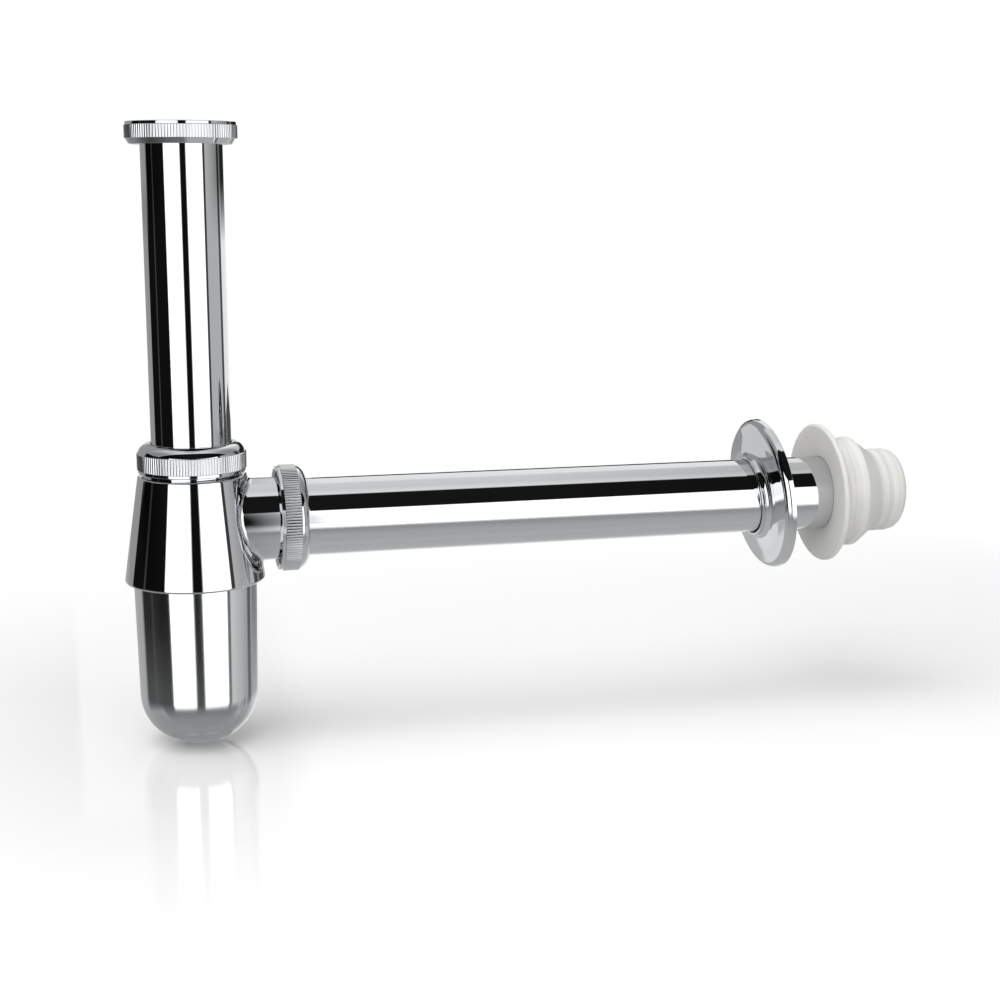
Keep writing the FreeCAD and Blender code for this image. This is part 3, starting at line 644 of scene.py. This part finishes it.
def makeWallSleeve(size):
    edge = size["flange"] - size["flangeEdge"]
    corners = [corner(size["hug"], 0, size["mouthEdge"], cuts=size["discCuts"][0]),
               corner(edge, 0, arc=size["flangeEdge"]),
               corner(size["flange"], size["flangeEdge"], arc=size["flangeEdge"]),
               corner(edge, 2 * size["flangeEdge"], cuts=size["discCuts"][1]),
               corner(size["drum"], 2 * size["flangeEdge"], size["drumRound"])]
    for starts, low, high, flank, land in (
            (size["ridges"], size["drum"], size["ridge"], size["ridgeFlank"], size["ridgeLand"]),
            (size["smallRidges"], size["nose"], size["smallRidge"], size["smallFlank"], size["smallLand"])):
        if low == size["nose"]:
            corners.append(corner(size["nose"], size["taper"][1], size["taperRounds"][1]))
        for start in starts:
            foot = start + 2 * flank + land
            atTaper = abs(foot - size["taper"][0]) < 0.01
            corners += [corner(low, start, size["ridgeRound"]), corner(high, start + flank, size["ridgeRound"]),
                        corner(high, start + flank + land, size["ridgeRound"]),
                        corner(low, foot, size["taperRounds"][0] if atTaper else size["ridgeRound"])]
    corners += [corner(size["nose"], size["noseStart"], arc=size["noseRound"]),
                corner(size["nose"] - size["noseRound"], size["end"]),
                corner(size["stop"], size["end"], size["mouthEdge"]),
                corner(size["stop"], size["stopStart"], size["stopEdge"]),
                corner(size["bore"], size["stopStart"]), corner(size["bore"], size["taper"][1]),
                corner(size["cavity"], size["taper"][0]), corner(size["cavity"], size["skin"]),
                corner(size["bore"], size["skin"], size["stopEdge"]), corner(size["bore"], size["hugTo"]),
                corner(size["hug"], size["hugTo"] / 2)]
    sleeve = turnSection("wallSleeve", corners)
    # the soft disc sags forward at its top, more and more towards its rim
    bpy.ops.object.mode_set(mode="EDIT")
    shape = bmesh.from_edit_mesh(sleeve.data)
    for vert in shape.verts:
        out = hypot(vert.co.x, vert.co.y) / mm
        if out > size["bore"] + 0.5 and vert.co.z / mm < 2 * size["flangeEdge"] + 0.01:
            towardsRim = (out - size["bore"]) / (size["flange"] - size["bore"])
            vert.co.z -= size["sag"] * mm * towardsRim * (1 - vert.co.x / mm / size["flange"]) / 2
    bmesh.update_edit_mesh(sleeve.data)
    bpy.ops.object.mode_set(mode="OBJECT")
    layDown(sleeve, size["start"], size["axis"])
    finishPiece(sleeve, "wall_sleeve", milkyRubber)


makeInletNut(inletNut)
makeInletTube(inletTube)
neckNut = makeJointNut(jointNut, "neckNut")
outletNut = neckNut.copy()
outletNut.data = neckNut.data.copy()
outletNut.name = "outletNut"
bpy.context.collection.objects.link(outletNut)
bpy.ops.object.select_all(action="DESELECT")
neckNut.select_set(True)
bpy.context.view_layer.objects.active = neckNut
neckNut.location = (0, 0, trapBody["shoulder"] * mm)
bpy.ops.object.transform_apply(location=True, rotation=True, scale=True)
layDown(outletNut, branch["reach"], branch["axis"])
finishJointNut(neckNut, "neck_nut", jointNut, lambda at: (hypot(at.x, at.y), at.z - trapBody["shoulder"]))
finishJointNut(outletNut, "outlet_nut", jointNut,
               lambda at: (hypot(at.y, at.z - branch["axis"]), at.x - branch["reach"]))
makeTrapBody(trapBody, branch)
makeBottleCup(bottleCup)
makeOutletTube(outletTube)
makeWallFlange(wallFlange)
makeWallSleeve(wallSleeve)
print("pieces modelled")

# Cards round the object, as its plate mirrors them: azimuth in degrees from the front, to the right,
# and the brightness from there on. Overhead panels start above the cards.
studio = {"cards": [(-180, 0.36), (-127, 0.006), (-97.5, 0.06), (-93.5, 0.006), (-55.8, 1.7), (-9.8, 0.006),
                    (7.2, 1.7), (55.5, 0.05), (62.5, 0.55), (107.5, 0.08), (118.5, 1.0)],
          "cardEdge": 0.4, "cardTop": 26.0, "topEdge": 0.5, "horizon": (-2.0, 0.0),
          "panels": [(0, 0.01), (74, 0.01), (77, 0.95), (95, 0.76), (120, 0.8), (150, 1.0), (180, 1.0)],
          "sideFrom": 0.25, "sideTo": 0.65, "sideLevel": 0.4,
          "roundFrom": 64.0, "roundTo": 125.0, "roundLevel": 0.25,
          "backFrom": (0.5, 0.6), "backGap": (16.0, 20.0), "gapFrom": (-0.05, 0.05), "gapLevel": 0.02,
          "backLeft": (0.06, 0.14), "leftLevel": 0.36, "backRight": (0.40, 0.46), "rightLevel": 0.65}


def grey(value):
    return (value, value, value, 1.0)


def lightStudio(look):
    world = bpy.data.worlds.new("studio")
    bpy.context.scene.world = world
    world.use_nodes = True
    tree = world.node_tree
    tree.nodes.clear()
    aim = addNode(tree, "ShaderNodeTexCoord")
    axes = addNode(tree, "ShaderNodeSeparateXYZ", {0: aim.outputs["Generated"]})
    front = addNode(tree, "ShaderNodeMath", {0: axes.outputs["Y"], 1: -1.0}, operation="MULTIPLY")
    azimuth = addNode(tree, "ShaderNodeMath", {0: axes.outputs["X"], 1: front.outputs[0]}, operation="ARCTAN2")
    height = addNode(tree, "ShaderNodeMath", {0: axes.outputs["Z"]}, operation="ARCSINE")
    arch = addNode(tree, "ShaderNodeMath", {0: axes.outputs["Z"], 1: front.outputs[0]}, operation="ARCTAN2")
    around = addNode(tree, "ShaderNodeMapRange", {"Value": azimuth.outputs[0], "From Min": -pi, "From Max": pi})
    over = addNode(tree, "ShaderNodeMapRange", {"Value": arch.outputs[0], "From Min": 0.0, "From Max": pi})
    cards = addNode(tree, "ShaderNodeValToRGB", {"Fac": around.outputs[0]})
    stops = cards.color_ramp.elements
    stops[0].color = grey(look["cards"][0][1])
    stops[1].color = grey(look["cards"][-1][1])
    for before, after in zip(look["cards"], look["cards"][1:]):
        for degrees, value in ((after[0] - look["cardEdge"], before[1]), (after[0] + look["cardEdge"], after[1])):
            stops.new((degrees + 180) / 360).color = grey(value)
    panels = addNode(tree, "ShaderNodeValToRGB", {"Fac": over.outputs[0]})
    stops = panels.color_ramp.elements
    stops[0].color = grey(look["panels"][0][1])
    stops[1].color = grey(look["panels"][-1][1])
    for degrees, value in look["panels"][1:-1]:
        stops.new(degrees / 180).color = grey(value)
    above = addNode(tree, "ShaderNodeMapRange", {
        "Value": height.outputs[0], "From Min": radians(look["cardTop"] - look["topEdge"]),
        "From Max": radians(look["cardTop"] + look["topEdge"])})
    aside = addNode(tree, "ShaderNodeMath", {0: axes.outputs["X"]}, operation="ABSOLUTE")
    dimmed = addNode(tree, "ShaderNodeMapRange", {
        "Value": aside.outputs[0], "From Min": look["sideFrom"], "From Max": look["sideTo"], "To Min": 1.0,
        "To Max": look["sideLevel"]})
    ceiling = addNode(tree, "ShaderNodeVectorMath", {0: panels.outputs["Color"], "Scale": dimmed.outputs[0]},
                      operation="SCALE")
    # over the table the cards fall off towards the back
    far = addNode(tree, "ShaderNodeMath", {0: azimuth.outputs[0]}, operation="ABSOLUTE")
    falling = addNode(tree, "ShaderNodeMapRange", {
        "Value": far.outputs[0], "From Min": radians(look["roundFrom"]), "From Max": radians(look["roundTo"]),
        "To Min": 1.0, "To Max": look["roundLevel"]})
    overTable = addNode(tree, "ShaderNodeMapRange", {
        "Value": height.outputs[0], "From Min": radians(look["horizon"][0]),
        "From Max": radians(look["horizon"][1])})
    fall = addNode(tree, "ShaderNodeMix", {0: overTable.outputs[0], 2: 1.0, 3: falling.outputs[0]})
    ring = addNode(tree, "ShaderNodeVectorMath", {0: cards.outputs["Color"], "Scale": fall.outputs[0]},
                   operation="SCALE")
    room = addNode(tree, "ShaderNodeMix", {
        0: above.outputs[0], 6: ring.outputs[0], 7: ceiling.outputs[0]}, data_type="RGBA")
    # behind stands the white background; the plate sees it dimmer at both sides, with a dark gap under the right
    behind = addNode(tree, "ShaderNodeMapRange", {
        "Value": axes.outputs["Y"], "From Min": look["backFrom"][0], "From Max": look["backFrom"][1]})
    leftSide = addNode(tree, "ShaderNodeMapRange", {
        "Value": axes.outputs["X"], "From Min": look["backLeft"][0], "From Max": look["backLeft"][1],
        "To Min": look["leftLevel"], "To Max": 1.0})
    rightSide = addNode(tree, "ShaderNodeMapRange", {
        "Value": axes.outputs["X"], "From Min": look["backRight"][0], "From Max": look["backRight"][1],
        "To Min": 1.0, "To Max": look["rightLevel"]})
    sides = addNode(tree, "ShaderNodeMath", {0: leftSide.outputs[0], 1: rightSide.outputs[0]},
                    operation="MULTIPLY")
    under = addNode(tree, "ShaderNodeMapRange", {
        "Value": height.outputs[0], "From Min": radians(look["backGap"][0]),
        "From Max": radians(look["backGap"][1]), "To Min": 1.0, "To Max": 0.0})
    rightwards = addNode(tree, "ShaderNodeMapRange", {
        "Value": axes.outputs["X"], "From Min": look["gapFrom"][0], "From Max": look["gapFrom"][1]})
    gap = addNode(tree, "ShaderNodeMath", {0: under.outputs[0], 1: rightwards.outputs[0]}, operation="MULTIPLY")
    risen = addNode(tree, "ShaderNodeMix", {0: gap.outputs[0], 2: sides.outputs[0], 3: look["gapLevel"]})
    backdrop = addNode(tree, "ShaderNodeMath", {0: behind.outputs[0], 1: overTable.outputs[0]},
                       operation="MULTIPLY")
    backed = addNode(tree, "ShaderNodeMix", {0: backdrop.outputs[0], 6: room.outputs[2], 7: risen.outputs[0]},
                     data_type="RGBA")
    path = addNode(tree, "ShaderNodeLightPath")
    shown = addNode(tree, "ShaderNodeMix", {
        0: path.outputs["Is Camera Ray"], 6: backed.outputs[2], 7: grey(1.0)}, data_type="RGBA")
    light = addNode(tree, "ShaderNodeBackground", {"Color": shown.outputs[2]})
    addNode(tree, "ShaderNodeOutputWorld", {"Surface": light.outputs[0]})


lightStudio(studio)

# one large soft light for what is matt; the plate shows only the cards
lamp = {"at": (-0.45, -0.45, 0.95), "aim": (0.12, 0.0, -0.2), "size": 1.6, "watts": 16.5}
bpy.ops.object.light_add(type="AREA", location=lamp["at"])
softLight = bpy.context.object
softLight.name = "softLight"
softLight.rotation_euler = (Vector(lamp["aim"]) - Vector(lamp["at"])).to_track_quat("-Z", "Y").to_euler()
softLight.data.size = lamp["size"]
softLight.data.energy = lamp["watts"]
softLight.visible_camera = softLight.visible_glossy = False
print("studio lit")

# a polished white table: the eye sees it white with a faint mirror image. The plate sees painted light on it: the
# table glows with a dim pool round the foot, a brighter one under the outlet and one at the back, and the cards
# mirrored in the polish are painted brighter near the foot
table = {"left": -0.6, "right": 0.9, "front": -0.8, "back": 0.95,
         "polish": 0.18, "paintedPolishBoost": (1.5, 1.0), "polishFall": (0.36, 0.6), "dim": 0.03,
         "paintedPool": 0.32, "poolReach": (0.045, 0.24), "bright": 0.5, "brightFrom": (-0.03, 0.06),
         "brightFront": (-0.42, -0.3), "paintedRear": 0.52, "rearAt": (0.09, 0.40), "rearReach": (0.1, 0.24),
         "mirrorFrom": 0.15, "mirrorTo": 0.92, "mirrorShares": (0.03, 0.97),
         "white": 1.12, "eyePolish": 0.08, "imageIor": 2.2, "imageReach": (0.03, 0.36),
         "imageSide": (0.028, 0.05), "imageTurn": 0.085, "fadeStart": 0.08, "fadeEnd": 0.32,
         "middle": (0.12, 0.0), "shadeReach": (0.3, 0.5)}


def makeTable(look):
    bpy.ops.object.select_all(action="DESELECT")
    middle = ((look["left"] + look["right"]) / 2, (look["front"] + look["back"]) / 2, cadBox[0][2])
    bpy.ops.mesh.primitive_plane_add(size=1, location=middle)
    board = bpy.context.object
    board.name = "table"
    board.scale = (look["right"] - look["left"], look["back"] - look["front"], 1)
    bpy.ops.object.transform_apply(location=True, rotation=True, scale=True)
    finish = bpy.data.materials.new("whiteTableWithPaintedGlow")
    finish.use_nodes = True
    tree = finish.node_tree
    tree.nodes.clear()
    place = addNode(tree, "ShaderNodeTexCoord")
    axes = addNode(tree, "ShaderNodeSeparateXYZ", {0: place.outputs["Object"]})
    flat = addNode(tree, "ShaderNodeCombineXYZ", {0: axes.outputs["X"], 1: axes.outputs["Y"]})
    away = addNode(tree, "ShaderNodeVectorMath", {0: flat.outputs[0]}, operation="LENGTH")
    # painted light: an emission that the plate sees in place of the table's shading, a dim pool round the foot and
    # a brighter patch under the outlet
    paintedPool = addNode(tree, "ShaderNodeMapRange", {
        "Value": away.outputs["Value"], "From Min": look["poolReach"][0], "From Max": look["poolReach"][1],
        "To Min": look["dim"] + look["paintedPool"], "To Max": look["dim"]}, interpolation_type="SMOOTHSTEP")
    across = addNode(tree, "ShaderNodeMapRange", {
        "Value": axes.outputs["X"], "From Min": look["brightFrom"][0], "From Max": look["brightFrom"][1],
        "To Max": look["bright"]}, interpolation_type="SMOOTHSTEP")
    forward = addNode(tree, "ShaderNodeMapRange", {
        "Value": axes.outputs["Y"], "From Min": look["brightFront"][0], "From Max": look["brightFront"][1]},
        interpolation_type="SMOOTHSTEP")
    bright = addNode(tree, "ShaderNodeMath", {0: across.outputs[0], 1: forward.outputs[0]}, operation="MULTIPLY")
    lit = addNode(tree, "ShaderNodeMath", {0: paintedPool.outputs[0], 1: bright.outputs[0]}, operation="MAXIMUM")
    # painted light: a glowing patch at the back of the table
    rearWay = addNode(tree, "ShaderNodeVectorMath", {0: flat.outputs[0], 1: (*look["rearAt"], 0.0)},
                      operation="DISTANCE")
    paintedRear = addNode(tree, "ShaderNodeMapRange", {
        "Value": rearWay.outputs["Value"], "From Min": look["rearReach"][0], "From Max": look["rearReach"][1],
        "To Min": 1.0, "To Max": 0.0}, interpolation_type="SMOOTHSTEP")
    level = addNode(tree, "ShaderNodeMix", {0: paintedRear.outputs[0], 2: lit.outputs[0], 3: look["paintedRear"]})
    paintedGlow = addNode(tree, "ShaderNodeEmission", {"Color": grey(1.0), "Strength": level.outputs[0]})
    # painted reflection: near the foot the polish mirrors the cards up to half again brighter than they are
    strength = addNode(tree, "ShaderNodeMapRange", {
        "Value": away.outputs["Value"], "From Min": look["polishFall"][0], "From Max": look["polishFall"][1],
        "To Min": look["paintedPolishBoost"][0], "To Max": look["paintedPolishBoost"][1]})
    polish = addNode(tree, "ShaderNodeBsdfGlossy", {"Color": strength.outputs[0], "Roughness": look["polish"]})
    slant = addNode(tree, "ShaderNodeLayerWeight", {"Blend": 0.5})
    sheen = addNode(tree, "ShaderNodeMapRange", {
        "Value": slant.outputs["Facing"], "From Min": look["mirrorFrom"], "From Max": look["mirrorTo"],
        "To Min": look["mirrorShares"][0], "To Max": look["mirrorShares"][1]}, interpolation_type="SMOOTHSTEP")
    # where the painted glow at the back shows, the polish's mirror image is taken away
    matt = addNode(tree, "ShaderNodeMath", {0: 1.0, 1: paintedRear.outputs[0]}, operation="SUBTRACT")
    polished = addNode(tree, "ShaderNodeMath", {0: sheen.outputs[0], 1: matt.outputs[0]}, operation="MULTIPLY")
    mirrored = addNode(tree, "ShaderNodeMixShader", {
        0: polished.outputs[0], 1: paintedGlow.outputs[0], 2: polish.outputs[0]})
    white = addNode(tree, "ShaderNodeBsdfDiffuse", {"Color": grey(look["white"])})
    gloss = addNode(tree, "ShaderNodeBsdfGlossy", {"Roughness": look["eyePolish"]})
    # only the foot's own image shows: it dies away forwards, and to the right before the outlet's
    clear = addNode(tree, "ShaderNodeFresnel", {"IOR": look["imageIor"]})
    forwards = addNode(tree, "ShaderNodeMapRange", {
        "Value": away.outputs["Value"], "From Min": look["imageReach"][0], "From Max": look["imageReach"][1],
        "To Min": 1.0, "To Max": 0.0})
    turned = addNode(tree, "ShaderNodeMath", {0: axes.outputs["Y"], 1: -look["imageTurn"], 2: axes.outputs["X"]},
                     operation="MULTIPLY_ADD")
    sideways = addNode(tree, "ShaderNodeMapRange", {
        "Value": turned.outputs[0], "From Min": look["imageSide"][0], "From Max": look["imageSide"][1],
        "To Min": 1.0, "To Max": 0.0}, interpolation_type="SMOOTHSTEP")
    image = addNode(tree, "ShaderNodeMath", {0: clear.outputs[0], 1: forwards.outputs[0]}, operation="MULTIPLY")
    share = addNode(tree, "ShaderNodeMath", {0: image.outputs[0], 1: sideways.outputs[0]}, operation="MULTIPLY")
    near = addNode(tree, "ShaderNodeMixShader", {0: share.outputs[0], 1: white.outputs[0], 2: gloss.outputs[0]})
    far = addNode(tree, "ShaderNodeMapRange", {
        "Value": axes.outputs["Y"], "From Min": look["fadeStart"], "From Max": look["fadeEnd"]})
    # and all round, the shade on the table runs out before its edges
    outWay = addNode(tree, "ShaderNodeVectorMath", {0: flat.outputs[0], 1: (*look["middle"], 0.0)},
                     operation="DISTANCE")
    outer = addNode(tree, "ShaderNodeMapRange", {
        "Value": outWay.outputs["Value"], "From Min": look["shadeReach"][0], "From Max": look["shadeReach"][1]})
    fade = addNode(tree, "ShaderNodeMath", {0: far.outputs[0], 1: outer.outputs[0]}, operation="MAXIMUM")
    paper = addNode(tree, "ShaderNodeEmission", {"Color": grey(1.0)})
    seen = addNode(tree, "ShaderNodeMixShader", {0: fade.outputs[0], 1: near.outputs[0], 2: paper.outputs[0]})
    path = addNode(tree, "ShaderNodeLightPath")
    both = addNode(tree, "ShaderNodeMixShader", {
        0: path.outputs["Is Camera Ray"], 1: mirrored.outputs[0], 2: seen.outputs[0]})
    addNode(tree, "ShaderNodeOutputMaterial", {"Surface": both.outputs[0]})
    board.data.materials.append(finish)


makeTable(table)
print("table laid")

# a reflector that only the plate sees, for the wall flange's face
reflector = {"middle": (0.03, 0.45, -0.15), "wide": 0.16, "high": 0.2, "level": 0.7}


def makeReflector(look):
    bpy.ops.object.select_all(action="DESELECT")
    bpy.ops.mesh.primitive_plane_add(size=1, location=look["middle"], rotation=(pi / 2, 0, 0))
    board = bpy.context.object
    board.name = "reflector"
    board.scale = (look["wide"], look["high"], 1)
    bpy.ops.object.transform_apply(location=True, rotation=True, scale=True)
    finish = bpy.data.materials.new("whiteBoard")
    finish.use_nodes = True
    tree = finish.node_tree
    tree.nodes.clear()
    lit = addNode(tree, "ShaderNodeEmission", {"Color": grey(1.0), "Strength": look["level"]})
    addNode(tree, "ShaderNodeOutputMaterial", {"Surface": lit.outputs[0]})
    board.data.materials.append(finish)
    board.visible_camera = board.visible_diffuse = board.visible_shadow = False


makeReflector(reflector)
print("reflector set")

view = {"at": (-46.38, -691.25, -22.39), "pitch": 10.635, "yaw": 14.219, "lens": 61.358, "sensor": 36.0}
bpy.ops.object.camera_add(location=[v * mm for v in view["at"]],
                          rotation=(pi / 2 - radians(view["pitch"]), 0, -radians(view["yaw"])))
camera = bpy.context.object
camera.data.lens = view["lens"]
camera.data.sensor_width = view["sensor"]
bpy.context.scene.camera = camera
print("camera set")
